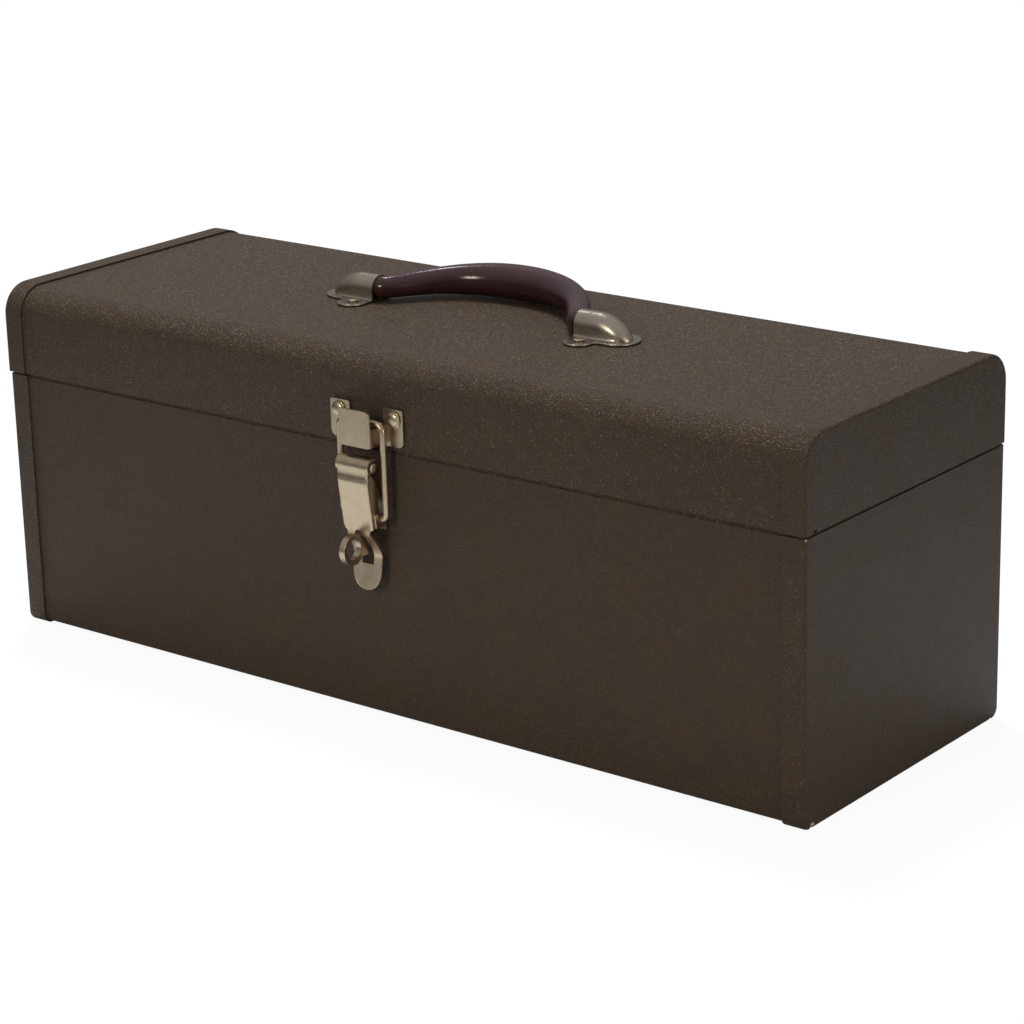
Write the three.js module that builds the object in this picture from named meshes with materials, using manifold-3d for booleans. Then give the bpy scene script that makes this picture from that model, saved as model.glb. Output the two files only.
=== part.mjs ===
// A steel tool box with a hinged lid, a folding carrying handle, a draw latch and a lift-out tray.
// Millimetres, +Z up. The front is -Y, the lid's hinge runs along X at the back.
import * as THREE from 'three';
import { mergeVertices } from 'three/addons/utils/BufferGeometryUtils.js';
import Module from 'manifold-3d';

const wasm = await Module();
wasm.setup();

// The box
const boxLength = 486;
const boxDepth = 169;
const seamHeight = 136;
const lidHeight = 45.5;
const seamGap = 1.4;
const sheet = 0.8;
const seat = 0.3;
const bodyBendRadius = 4;
const lidBendRadius = 14;
const flangeWidth = 12;
const flangeBendRadius = 1.6;
const rimRise = 5.6;
const rimStep = 0.8;
const rimGap = 0.3;
const lidEndProud = 0.5;
const notchWidth = 3;
const notchRise = 1.6;
const notchInset = 6.5;

// The lid's hinge
const knuckleRadius = 2.3;
const knuckleBore = 1.3;
const hingePinRadius = 1;
const knuckleCount = 19;
const knuckleGap = 0.6;
const leafHeight = 14;
const hingeEndGap = 3;

// The latch's fixed base and the padlock eye
const pivotDrop = 6.2;
const pivotOut = 9.2;
const baseSheet = 1.2;
const baseHalfWidth = 8.4;
const baseBelowPivot = 33;
const baseAbovePivot = 0;
const baseKnuckleRadius = 3.1;
const baseKnuckleHalfWidth = 9.2;
const armHalfWidth = 7.8;
const armDrop = 21.5;
const latchPinRadius = 1.7;
const latchPinHeadRadius = 2.3;
const latchPinHeadLength = 1.1;
const eyeThickness = 3.4;
const eyeRadius = 7.5;
const eyeHoleRadius = 4.9;
const eyeHoleShift = 0.5;
const eyeOut = 15.3;
const eyeDrop = 40.3;
const eyeNeckHeight = 9;
const eyeFootHalfWidth = 5;
const eyeFootHeight = 14;
const baseRivetEdge = 5;

// The latch's lever
const leverSheet = 0.9;
const rollRadius = 4.4;
const rollHalfWidth = 9.9;
const rollEndAngle = 170;
const faceDrop = 31.4;
const faceHalfWidth = 9.3;
const neckHalfWidth = 6.6;
const neckDrop = 1.6;
const shoulderDrop = 8.4;
const tailDrop = 31.4;
const tailSetback = 5.4;
const tailHalfWidth = 8.6;
const tailInShares = [0, 0.06, 0.26, 0.76, 1, 0.82, 0.5];
const tailDownShares = [0, 0.07, 0.16, 0.3, 0.46, 0.62, 1];
const tailTipShare = 0.999;
const slotHalfWidth = 3.6;
const slotHeight = 18.9;
const slotTopDrop = 0.2;
const slotArch = 8.5;
const sideTopDepth = 6.5;
const sideFootDepth = 5.5;
const bootHeight = 8;
const bootDepth = 8.4;
const bootStep = 0.6;

// The latch's bail and keeper
const bailWireRadius = 1.6;
const bailHalfWidth = 13.2;
const bailBendRadius = 3;
const bailTopBendRadius = 4.2;
const bailPivotDrop = 26.1;
const bailPivotIn = 4.2;
const crossbarRise = 14.3;
const crossbarOut = 5.7;
const keeperSheet = 1.2;
const tongueHalfWidth = 9.5;
const tongueOut = 11.6;
const tongueBottomRise = 3.2;
const tongueTopRise = 21;
const tongueLip = 1.9;
const tongueCorner = 2.5;
const tongueBendRadius = 2;
const keeperNotchRise = 12;
const earHalfWidth = 22.1;
const earInner = 10.3;
const earBottomRise = 3;
const earTopRise = 21.4;
const earLowerCorner = 3;
const earUpperCorner = 1.2;
const keeperRivetOut = 16.8;
const keeperRivetRise = 16.5;

// The carrying handle and its brackets
const mouthHalfSpan = 62.5;
const bracketSheet = 1;
const tunnelHalfWidth = 6.7;
const tunnelHeight = 12.7;
const tunnelStraight = 11.5;
const tunnelLength = 29;
const domeShares = [0.3, 0.55, 0.75, 0.88, 0.96];
const domeSidePower = 3;
const domeCrownPower = 1.8;
const domeCrownRoot = 0.65;
const lobeRadius = 10.6;
const lobeCentre = 21.5;
const bracketEarRadius = 7.5;
const bracketEarReach = 13;
const bracketRivetReach = 12.4;
const pivotRise = 6.8;
const handleReach = 37.4;
const handleWireRadius = 4;
const wireEndLength = 14;
const gripRadius = 8.8;
const gripEndRadius = 5.6;
const gripSwellPower = 1.4;
const gripEndGap = 0.6;
const gripEndEase = 9;
const gripCrownEase = 48;

// The rivets
const rivetShankRadius = 1.9;
const rivetTailRadius = 2.8;
const rivetTailHeight = 1;
const rivetTailFlatShare = 0.7;
const domeRadiusShares = [1, 1, 0.8, 0.4, 0];
const domeHeightShares = [0, 0.35, 0.75, 1, 1];
const bracketRivetHeadRadius = 2.9;
const bracketRivetHeadHeight = 0.9;
const keeperRivetHeadRadius = 4;
const keeperRivetHeadHeight = 1.8;

// The lift-out tray and its rests
const trayHeight = 34.5;
const restWidth = 11;
const restDrop = 14;
const restLength = 120;
const trayEndGap = 2;
const traySideGap = 2;
const trayTopGap = 2.5;
const trayBendRadius = 2.5;
const trayFlange = 9;
const dividerHeight = 59;
const dividerFoot = 10;
const dividerCrownHalfWidth = 64;
const dividerShoulderHalfWidth = 92;
const dividerCorner = 6;
const handHoleHalfWidth = 48;
const handHoleHeight = 13;
const handHoleEdge = 7;
const handHoleCorner = 6.2;

const overrun = 1;
const arcSteps = 6;
const rollSteps = 14;
const slotSteps = 10;
const roundSides = 16;

// Places that follow from the sizes
const halfLength = boxLength / 2;
const halfDepth = boxDepth / 2;
const skinInset = sheet + seat;
const bodyTop = seamHeight - seamGap / 2;
const lidBottom = seamHeight + seamGap / 2;
const bodyFace = -halfDepth + skinInset;
const bodyBack = halfDepth - skinInset;
const lidHalfLength = halfLength + lidEndProud;
const lidFront = -halfDepth - sheet - rimGap;
const lidFace = lidFront + skinInset;
const boxHeight = seamHeight + lidHeight;
const lidTop = boxHeight - skinInset;
const hingeY = bodyBack + seat + knuckleRadius;
const hingeHalfLength = halfLength - flangeWidth - hingeEndGap;
const pivot = new THREE.Vector2(pivotOut, seamHeight - pivotDrop);
const bailPivot = new THREE.Vector2(pivot.x - bailPivotIn, pivot.y - bailPivotDrop);
const crossbar = new THREE.Vector2(crossbarOut, seamHeight + crossbarRise);
const eyeZ = pivot.y - eyeDrop;
const handlePivotZ = lidTop + pivotRise;
const restLean = Math.asin((gripRadius + seat - pivotRise) / handleReach);
const frontReach = halfDepth + eyeOut + eyeRadius;
const backReach = hingeY + knuckleRadius;

// Finishes
const brownPaint = { color: 0x3e332d, metalness: 0.1, roughness: 0.5 };
const nickel = { color: 0xaa9b87, metalness: 0.9, roughness: 0.35 };
const maroonPlastic = { color: 0x46191a, metalness: 0, roughness: 0.25 };
const trayPaint = { color: 0x4b3f38, metalness: 0.1, roughness: 0.55 };

// Solids

function toSolid(geometry) {
  const bare = geometry.clone();
  bare.deleteAttribute('normal');
  bare.deleteAttribute('uv');
  const merged = mergeVertices(bare, 1e-4);
  const vertProperties = new Float32Array(merged.attributes.position.array);
  const triVerts = new Uint32Array(merged.index.array);
  return new wasm.Manifold(new wasm.Mesh({ numProp: 3, vertProperties, triVerts }));
}

function toGeometry(solid) {
  const { vertProperties, triVerts, numProp } = solid.getMesh();
  const positions = new Float32Array((vertProperties.length / numProp) * 3);
  for (let i = 0; i < positions.length / 3; i += 1) {
    positions.set(vertProperties.subarray(i * numProp, i * numProp + 3), i * 3);
  }
  const geometry = new THREE.BufferGeometry();
  geometry.setAttribute('position', new THREE.BufferAttribute(positions, 3));
  geometry.setIndex(new THREE.BufferAttribute(new Uint32Array(triVerts), 1));
  geometry.computeVertexNormals();
  return geometry;
}

function join(solids) {
  return solids.reduce((whole, piece) => whole.add(piece));
}

function cut(solid, tools) {
  return tools.reduce((whole, tool) => whole.subtract(tool), solid);
}

// An outline is a list of [a, b, radius], and a radius rounds that corner.
function outline(corners, closed = true) {
  const points = [];
  corners.forEach(([a, b, radius = 0], i) => {
    const here = new THREE.Vector2(a, b);
    if (radius <= 0 || (!closed && (i === 0 || i === corners.length - 1))) {
      points.push(here);
      return;
    }
    const last = corners[(i + corners.length - 1) % corners.length];
    const next = corners[(i + 1) % corners.length];
    const into = new THREE.Vector2(last[0], last[1]).sub(here).normalize();
    const out = new THREE.Vector2(next[0], next[1]).sub(here).normalize();
    const half = Math.acos(into.dot(out)) / 2;
    const centre = into.clone().add(out).normalize().multiplyScalar(radius / Math.sin(half)).add(here);
    const start = here.clone().addScaledVector(into, radius / Math.tan(half)).sub(centre);
    const end = here.clone().addScaledVector(out, radius / Math.tan(half)).sub(centre);
    let turn = end.angle() - start.angle();
    turn -= 2 * Math.PI * Math.round(turn / (2 * Math.PI));
    for (let k = 0; k <= arcSteps; k += 1) {
      points.push(start.clone().rotateAround(new THREE.Vector2(), (turn * k) / arcSteps).add(centre));
    }
  });
  return points;
}

const alongX = new THREE.Matrix4().makeBasis(
  new THREE.Vector3(0, 1, 0), new THREE.Vector3(0, 0, 1), new THREE.Vector3(1, 0, 0));
const alongY = new THREE.Matrix4().makeBasis(
  new THREE.Vector3(1, 0, 0), new THREE.Vector3(0, 0, 1), new THREE.Vector3(0, -1, 0));
const alongZ = new THREE.Matrix4();

function prism(points, depth, basis) {
  const geometry = new THREE.ExtrudeGeometry(new THREE.Shape(points), { depth, bevelEnabled: false });
  return geometry.applyMatrix4(basis);
}

// The outline's points are (y, z).
function prismX(points, from, to) {
  return toSolid(prism(points, to - from, alongX).translate(from, 0, 0));
}

// The outline's points are (x, z).
function prismY(points, from, to) {
  return toSolid(prism(points, to - from, alongY).translate(0, to, 0));
}

// The outline's points are (x, y).
function prismZ(points, from, to) {
  return toSolid(prism(points, to - from, alongZ).translate(0, 0, from));
}

function block(low, high) {
  const corners = [[low[0], low[1]], [high[0], low[1]], [high[0], high[1]], [low[0], high[1]]];
  return prismZ(outline(corners), low[2], high[2]);
}

function circle(radius, a = 0, b = 0, sides = roundSides) {
  const points = [];
  for (let k = 0; k < sides; k += 1) {
    const angle = (2 * Math.PI * k) / sides;
    points.push(new THREE.Vector2(a + radius * Math.cos(angle), b + radius * Math.sin(angle)));
  }
  return points;
}

// A closed body over rings with the same number of points. A looped one closes on its first ring.
function loft(rings, looped = false) {
  const count = rings[0].length;
  const positions = rings.flat().flatMap((point) => point.toArray());
  const index = [];
  const spans = looped ? rings.length : rings.length - 1;
  for (let r = 0; r < spans; r += 1) {
    const near = r * count;
    const far = ((r + 1) % rings.length) * count;
    for (let k = 0; k < count; k += 1) {
      const next = (k + 1) % count;
      index.push(near + k, near + next, far + next, near + k, far + next, far + k);
    }
  }
  if (!looped) {
    capFaces(rings[0]).forEach(([a, b, c]) => index.push(a, c, b));
    const last = (rings.length - 1) * count;
    capFaces(rings[rings.length - 1]).forEach(([a, b, c]) => index.push(last + a, last + b, last + c));
  }
  const geometry = new THREE.BufferGeometry();
  geometry.setAttribute('position', new THREE.BufferAttribute(new Float32Array(positions), 3));
  geometry.setIndex(volume(positions, index) < 0 ? flipped(index) : index);
  return geometry;
}

// Triangles of a flat ring, turning the same way as the ring does.
function capFaces(ring) {
  const normal = new THREE.Vector3();
  ring.forEach((point, i) => normal.add(point.clone().cross(ring[(i + 1) % ring.length])));
  const side = ring[1].clone().sub(ring[0]).normalize();
  const up = normal.normalize().clone().cross(side);
  const flat = ring.map((point) => new THREE.Vector2(point.dot(side), point.dot(up)));
  return THREE.ShapeUtils.triangulateShape(flat, []);
}

function volume(positions, index) {
  const at = (i) => new THREE.Vector3(...positions.slice(3 * i, 3 * i + 3));
  let sum = 0;
  for (let i = 0; i < index.length; i += 3) {
    sum += at(index[i]).dot(at(index[i + 1]).cross(at(index[i + 2])));
  }
  return sum;
}

function flipped(index) {
  const turned = [];
  for (let i = 0; i < index.length; i += 3) {
    turned.push(index[i], index[i + 2], index[i + 1]);
  }
  return turned;
}

function mirrored(geometry) {
  const other = geometry.clone();
  const positions = other.attributes.position.array;
  for (let i = 0; i < positions.length; i += 3) {
    positions[i] = -positions[i];
  }
  other.setIndex(flipped(Array.from(other.index.array)));
  other.computeVertexNormals();
  return other;
}

function turned(profile, sides = 12) {
  const points = profile.map(([radius, height]) => new THREE.Vector2(radius, height));
  return new THREE.LatheGeometry(points, sides).rotateX(Math.PI / 2);
}

// The latch is drawn in a side view of (out, z), where out is measured forward from the body's front.
function sideView(points) {
  return points.map((point) => new THREE.Vector2(-halfDepth - point.x, point.y));
}

// Pressed sheet

// A strip of sheet whose outer side follows edge(0) and whose inner side follows edge(sheet).
function strip(edge, thickness, from, to) {
  const outer = outline(edge(0), false);
  const inner = outline(edge(thickness), false);
  return prismX([...outer, ...inner.reverse()], from, to);
}

// A pressed end: a flat panel at +X with a flange that runs back over the outline's edge.
function pan(edge, face, width, thickness) {
  const shell = (inset, faceX, bend) => {
    const ring = (x, drawn) => outline(edge(inset + drawn)).map((p) => new THREE.Vector3(x, p.x, p.y));
    const rings = [ring(face - width - (inset > 0 ? overrun : 0), 0)];
    for (let k = 0; k <= 3; k += 1) {
      const angle = (Math.PI / 2) * (k / 3);
      rings.push(ring(faceX - bend * (1 - Math.sin(angle)), bend * (1 - Math.cos(angle))));
    }
    return toSolid(loft(rings));
  };
  const outer = shell(0, face, flangeBendRadius);
  const inner = shell(thickness, face - thickness, flangeBendRadius - thickness);
  return outer.subtract(inner);
}

function bodyEdge(inset) {
  const corner = bodyBendRadius + skinInset - inset;
  return [
    [-halfDepth + inset, bodyTop],
    [-halfDepth + inset, inset, corner],
    [halfDepth - inset, inset, corner],
    [halfDepth - inset, bodyTop],
  ];
}

function lidEdge(inset) {
  const corner = lidBendRadius + skinInset - inset;
  return [
    [lidFront + inset, lidBottom],
    [lidFront + inset, boxHeight - inset, corner],
    [halfDepth - inset, boxHeight - inset, corner],
    [halfDepth - inset, lidBottom],
  ];
}

// A hole for a rivet's shank, through whatever lies between from and to.
function rivetHoleY(x, z, from, to) {
  return prismY(circle(rivetShankRadius + seat, x, z), from, to);
}

function rivetHoleZ(x, y, from, to) {
  return prismZ(circle(rivetShankRadius + seat, x, y), from, to);
}

// The body

const baseRivets = [
  ['latch_base_rivet_upper', pivot.y + baseAbovePivot - baseRivetEdge],
  ['latch_base_rivet_lower', pivot.y - baseBelowPivot + baseRivetEdge],
];

function bodyShell() {
  const half = halfLength - skinInset;
  const edge = (inset) => {
    const [front, ...rest] = bodyEdge(skinInset + inset);
    return [
      [front[0] + rimStep, bodyTop + rimRise],
      [front[0] + rimStep, bodyTop],
      [front[0], bodyTop - rimStep],
      ...rest,
    ];
  };
  const holes = baseRivets.map(([, z]) => (
    rivetHoleY(0, z, bodyFace - overrun, bodyFace + sheet + overrun)));
  const eyeSlot = block(
    [-eyeThickness / 2 - seat, bodyFace - overrun, eyeZ - eyeNeckHeight / 2 - seat],
    [eyeThickness / 2 + seat, bodyFace + sheet + overrun, eyeZ + eyeNeckHeight / 2 + seat]);
  return cut(strip(edge, sheet, -half, half), [...holes, eyeSlot]);
}

// The end panel's top steps in by a sheet, so that the lid's end closes over it.
function bodyEnd() {
  const panelBack = halfLength - sheet;
  const rimFace = panelBack - seat / 2;
  const rimHalfDepth = bodyBack - sheet - rimStep - seat;
  const rim = prismY(outline([
    [panelBack, bodyTop - 3 * sheet],
    [panelBack + sheet / 2, bodyTop - 3 * sheet],
    [panelBack + sheet / 2, bodyTop - sheet],
    [rimFace, bodyTop],
    [rimFace, bodyTop + rimRise],
    [rimFace - sheet, bodyTop + rimRise],
    [rimFace - sheet, bodyTop - sheet],
  ]), -rimHalfDepth, rimHalfDepth);
  const notches = [-1, 1].map((side) => {
    const middle = side * (halfDepth - notchInset);
    return block(
      [halfLength - flangeBendRadius, middle - notchWidth / 2, -overrun],
      [halfLength + overrun, middle + notchWidth / 2, notchRise]);
  });
  return cut(pan(bodyEdge, halfLength, flangeWidth, sheet).add(rim), notches);
}

// A ledge on each end panel that the tray's floor sits on.
function trayRest() {
  const wall = halfLength - sheet - seat;
  const angle = outline([
    [wall, restHeight - restDrop],
    [wall, restHeight],
    [wall - restWidth, restHeight],
    [wall - restWidth, restHeight - sheet],
    [wall - sheet, restHeight - sheet],
    [wall - sheet, restHeight - restDrop],
  ]);
  return prismY(angle, -restLength / 2, restLength / 2);
}

// One leaf of the hinge: up is 1 for the lid's leaf and -1 for the body's.
function hingeLeaf(up) {
  const inner = bodyBack + seat;
  const clear = knuckleRadius + seat;
  const plate = block(
    [-hingeHalfLength, inner, seamHeight + (up > 0 ? clear : -leafHeight)],
    [hingeHalfLength, inner + sheet, seamHeight + (up > 0 ? leafHeight : -clear)]);
  const pitch = (2 * hingeHalfLength) / knuckleCount;
  const pieces = [plate];
  for (let k = up > 0 ? 1 : 0; k < knuckleCount; k += 2) {
    const from = -hingeHalfLength + k * pitch + knuckleGap / 2;
    const to = from + pitch - knuckleGap;
    const web = block(
      [from, inner, seamHeight + (up > 0 ? 0 : -clear - overrun)],
      [to, inner + sheet, seamHeight + (up > 0 ? clear + overrun : 0)]);
    pieces.push(web, prismX(circle(knuckleRadius, hingeY, seamHeight, 12), from, to));
  }
  const bore = prismX(circle(knuckleBore, hingeY, seamHeight, 8),
    -hingeHalfLength - overrun, hingeHalfLength + overrun);
  return join(pieces).subtract(bore);
}

function hingePin() {
  return prismX(circle(hingePinRadius, hingeY, seamHeight, 8), -hingeHalfLength, hingeHalfLength);
}

// The latch's fixed base: a plate on the body's front, with an arm that carries the lever's knuckle.
function latchBase() {
  const plateBack = bodyFace - seat;
  const plateFront = plateBack - baseSheet;
  const plate = block(
    [-baseHalfWidth, plateFront, pivot.y - baseBelowPivot],
    [baseHalfWidth, plateBack, pivot.y + baseAbovePivot]);
  const foot = new THREE.Vector2(-halfDepth - plateFront, pivot.y - armDrop);
  const toPivot = pivot.clone().sub(foot);
  const heading = toPivot.angle() - Math.asin(baseKnuckleRadius / toPivot.length());
  const along = new THREE.Vector2(Math.cos(heading), Math.sin(heading));
  const across = new THREE.Vector2(-along.y, along.x);
  const touch = pivot.clone().addScaledVector(across, -baseKnuckleRadius);
  const arm = sideView([
    foot,
    touch,
    touch.clone().addScaledVector(across, baseSheet),
    foot.clone().addScaledVector(across, baseSheet),
  ]);
  const axis = sideView([pivot])[0];
  const knuckle = prismX(circle(baseKnuckleRadius, axis.x, axis.y, 24),
    -baseKnuckleHalfWidth, baseKnuckleHalfWidth);
  const bore = prismX(circle(latchPinRadius + seat, axis.x, axis.y),
    -baseKnuckleHalfWidth - overrun, baseKnuckleHalfWidth + overrun);
  const holes = baseRivets.map(([, z]) => rivetHoleY(0, z, plateFront - overrun, plateBack + overrun));
  const whole = join([plate, prismX(arm, -armHalfWidth, armHalfWidth), knuckle]);
  return cut(whole, [bore, ...holes]);
}

// A pin with a domed head at each end, outside the knuckle.
function latchPin() {
  const half = baseKnuckleHalfWidth + seat;
  const end = half + latchPinHeadLength;
  const crown = latchPinHeadRadius / 2;
  const profile = [
    [0, -end], [crown, -end], [latchPinHeadRadius, -half - latchPinHeadLength / 3],
    [latchPinHeadRadius, -half], [latchPinRadius, -half], [latchPinRadius, half],
    [latchPinHeadRadius, half], [latchPinHeadRadius, half + latchPinHeadLength / 3], [crown, end], [0, end],
  ];
  const axis = sideView([pivot])[0];
  return turned(profile).rotateY(Math.PI / 2).translate(0, axis.x, axis.y);
}

// A flat plate on edge with a hole for a padlock. It stands through the body's front and the lever's slot,
// and its foot is bent over inside the body.
function padlockEye() {
  const half = eyeThickness / 2;
  const centreY = -halfDepth - eyeOut;
  const footFront = bodyFace + sheet + seat;
  const footBack = footFront + baseSheet;
  const neck = block([-half, centreY, eyeZ - eyeNeckHeight / 2], [half, footBack, eyeZ + eyeNeckHeight / 2]);
  const foot = block(
    [-eyeFootHalfWidth, footFront, eyeZ - eyeFootHeight / 2],
    [eyeFootHalfWidth, footBack, eyeZ + eyeFootHeight / 2]);
  const ring = prismX(circle(eyeRadius, centreY, eyeZ, 28), -half, half);
  const hole = prismX(circle(eyeHoleRadius, centreY - eyeHoleShift, eyeZ + eyeHoleShift, 24),
    -half - overrun, half + overrun);
  return join([ring, neck, foot]).subtract(hole);
}

// The lid

function lidShell() {
  const half = lidHalfLength - skinInset;
  const edge = (inset) => lidEdge(skinInset + inset);
  const keeperHoles = [-1, 1].map((side) => (
    rivetHoleY(side * keeperRivetOut, seamHeight + keeperRivetRise, lidFace - overrun,
      lidFace + sheet + overrun)));
  const bracketHoles = bracketRivets.map(([, x, y]) => (
    rivetHoleZ(x, y, lidTop - sheet - overrun, lidTop + overrun)));
  return cut(strip(edge, sheet, -half, half), [...keeperHoles, ...bracketHoles]);
}

function lidEnd() {
  const notch = block(
    [lidHalfLength - sheet - overrun, -halfDepth + notchInset - notchWidth / 2, lidBottom - overrun],
    [lidHalfLength + overrun, -halfDepth + notchInset + notchWidth / 2, lidBottom + notchRise]);
  return pan(lidEdge, lidHalfLength, flangeWidth, sheet).subtract(notch);
}

// The keeper: two ears on the lid and a bent tongue between them, cut away behind for the bail's crossbar.
function keeper() {
  const earBack = lidFace - seat;
  const earFront = earBack - keeperSheet;
  const front = -halfDepth - tongueOut;
  const rise = (height) => seamHeight + height;
  const notch = rise(keeperNotchRise);
  const wallInner = tongueHalfWidth - keeperSheet;
  const channelEdge = (inset) => outline([
    [-tongueHalfWidth + inset, earBack],
    [-tongueHalfWidth + inset, front + inset, tongueBendRadius - inset],
    [tongueHalfWidth - inset, front + inset, tongueBendRadius - inset],
    [tongueHalfWidth - inset, earBack],
  ], false);
  const channel = prismZ([...channelEdge(0), ...channelEdge(keeperSheet).reverse()],
    rise(tongueBottomRise), rise(tongueTopRise));
  const view = prismY(outline([
    [-tongueHalfWidth, rise(tongueBottomRise)],
    [tongueHalfWidth, rise(tongueBottomRise)],
    [tongueHalfWidth, rise(tongueTopRise), tongueCorner],
    [-tongueHalfWidth, rise(tongueTopRise), tongueCorner],
  ]), front - overrun, earBack);
  const space = block(
    [-tongueHalfWidth - overrun, front + tongueLip, notch],
    [tongueHalfWidth + overrun, earBack + overrun, rise(tongueTopRise) + overrun]);
  const ears = [-1, 1].map((side) => prismY(outline([
    [side * wallInner, rise(earBottomRise)],
    [side * earHalfWidth, rise(earBottomRise), earLowerCorner],
    [side * earHalfWidth, rise(earTopRise), earUpperCorner],
    [side * earInner, rise(earTopRise), earUpperCorner],
    [side * earInner, notch],
    [side * wallInner, notch],
  ]), earFront, earBack));
  const holes = [-1, 1].map((side) => (
    rivetHoleY(side * keeperRivetOut, rise(keeperRivetRise), earFront - overrun, earBack + overrun)));
  return cut(join([channel.intersect(view).subtract(space), ...ears]), holes);
}

// The carrying handle's brackets

const bracketRivetX = mouthHalfSpan + bracketEarRadius;
const bracketRivets = [
  ['handle_bracket_rivet_left_front', -bracketRivetX, -bracketRivetReach],
  ['handle_bracket_rivet_left_back', -bracketRivetX, bracketRivetReach],
  ['handle_bracket_rivet_right_front', bracketRivetX, -bracketRivetReach],
  ['handle_bracket_rivet_right_back', bracketRivetX, bracketRivetReach],
];

// A tunnel that is straight from its mouth and then falls in a dome to a closed end.
function tunnel(inset, floor) {
  const length = tunnelLength - inset;
  const stations = [-inset * overrun, tunnelStraight];
  domeShares.forEach((share) => stations.push(tunnelStraight + share * (length - tunnelStraight)));
  const rings = stations.map((along) => {
    const share = Math.max(0, (along - tunnelStraight) / (length - tunnelStraight));
    const half = (tunnelHalfWidth - inset) * Math.sqrt(1 - share ** domeSidePower);
    const height = (tunnelHeight - inset) * (1 - share ** domeCrownPower) ** domeCrownRoot;
    const radius = Math.min(half, height);
    const ring = [new THREE.Vector3(mouthHalfSpan + along, half, lidTop + floor)];
    for (let k = 0; k <= 10; k += 1) {
      const angle = (Math.PI * k) / 10;
      const z = lidTop + seat + Math.max(height - radius, bracketSheet / 4) + radius * Math.sin(angle);
      ring.push(new THREE.Vector3(mouthHalfSpan + along, half * Math.cos(angle), z));
    }
    ring.push(new THREE.Vector3(mouthHalfSpan + along, -half, lidTop + floor));
    return ring;
  });
  return toSolid(loft(rings));
}

function bracket() {
  const base = lidTop + seat;
  const top = base + bracketSheet;
  const lobe = prismZ(circle(lobeRadius, mouthHalfSpan + lobeCentre, 0, 28), base, top);
  const ears = [-1, 1].map((side) => (
    prismZ(circle(bracketEarRadius, bracketRivetX, side * bracketEarReach, 24), base, top)));
  const middle = block(
    [mouthHalfSpan, -bracketEarReach, base],
    [mouthHalfSpan + 2 * bracketEarRadius, bracketEarReach, top]);
  const bridge = block(
    [mouthHalfSpan + bracketEarRadius, -lobeRadius, base],
    [mouthHalfSpan + lobeCentre, lobeRadius, top]);
  const holes = bracketRivets.slice(2).map(([, x, y]) => rivetHoleZ(x, y, base - overrun, top + overrun));
  const whole = join([lobe, ...ears, middle, bridge, tunnel(0, seat)]);
  return cut(whole, [tunnel(bracketSheet, -overrun), ...holes]);
}

// The handle

// Half of the handle's centre line, from a bracket's mouth to the crown, flat with its pivot on X.
function handleCurve() {
  return new THREE.CubicBezierCurve(
    new THREE.Vector2(mouthHalfSpan, 0),
    new THREE.Vector2(mouthHalfSpan - gripEndEase, 0),
    new THREE.Vector2(gripCrownEase, handleReach),
    new THREE.Vector2(0, handleReach));
}

// Points with their directions along the whole handle, from +X to -X.
function handleStations(ends) {
  const curve = handleCurve();
  const half = [];
  for (let k = 0; k <= 12; k += 1) {
    half.push({ at: curve.getPoint(k / 12), heading: curve.getTangent(k / 12) });
  }
  ends.forEach((x) => half.unshift({ at: new THREE.Vector2(x, 0), heading: new THREE.Vector2(-1, 0) }));
  const other = half.slice(0, -1).reverse().map(({ at, heading }) => (
    { at: new THREE.Vector2(-at.x, at.y), heading: new THREE.Vector2(heading.x, -heading.y) }));
  return [...half, ...other];
}

function handleRing({ at, heading }, radius, sides) {
  const ring = [];
  for (let k = 0; k < sides; k += 1) {
    const angle = (2 * Math.PI * k) / sides;
    const side = radius * Math.cos(angle);
    ring.push(new THREE.Vector3(at.x - heading.y * side, at.y + heading.x * side, radius * Math.sin(angle)));
  }
  return ring;
}

function handleWire() {
  const ends = [mouthHalfSpan + wireEndLength];
  return loft(handleStations(ends).map((station) => handleRing(station, handleWireRadius, 12)));
}

// The grip is a sleeve over the wire, thick at the crown and cut off square at the brackets.
function handleGrip() {
  const stations = handleStations([]);
  const outer = stations.map((station) => {
    const share = Math.min(1, Math.abs(station.at.x) / mouthHalfSpan);
    const radius = gripEndRadius + (gripRadius - gripEndRadius) * (1 - share ** 2) ** gripSwellPower;
    return handleRing(station, radius, 16);
  });
  const inner = stations.map((station) => handleRing(station, handleWireRadius + seat, 16)).reverse();
  const sleeve = toSolid(loft([...outer, ...inner], true));
  const end = mouthHalfSpan - gripEndGap;
  const space = block([-end, -gripRadius, -gripRadius], [end, handleReach + 2 * gripRadius, gripRadius]);
  return sleeve.intersect(space);
}

// The lever

// The lever's face runs down from the roll, in line with its curve, to a foot straight below the pin.
const lean = Math.asin(rollRadius / faceDrop);
const faceUp = new THREE.Vector2(Math.sin(lean), Math.cos(lean));
const faceIn = new THREE.Vector2(-Math.cos(lean), Math.sin(lean));
const faceFoot = new THREE.Vector2(pivot.x, pivot.y - faceDrop);

function rollArc(radius) {
  const end = THREE.MathUtils.degToRad(rollEndAngle);
  const points = [];
  for (let k = 0; k <= rollSteps; k += 1) {
    const angle = end - ((end + lean) * k) / rollSteps;
    points.push(new THREE.Vector2(radius * Math.cos(angle), radius * Math.sin(angle)).add(pivot));
  }
  return points;
}

// The tail swings in behind the eye's ring and out again to the fingers.
function tailPoints(depth) {
  const curve = new THREE.SplineCurve(tailInShares.map((share, i) => (
    new THREE.Vector2(faceFoot.x - share * tailSetback, faceFoot.y - tailDownShares[i] * tailDrop))));
  const points = [];
  for (let k = 0; k <= 16; k += 1) {
    const heading = curve.getTangent(k / 16);
    points.push(curve.getPoint(k / 16).add(new THREE.Vector2(heading.y, -heading.x).multiplyScalar(depth)));
  }
  return points;
}

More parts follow.
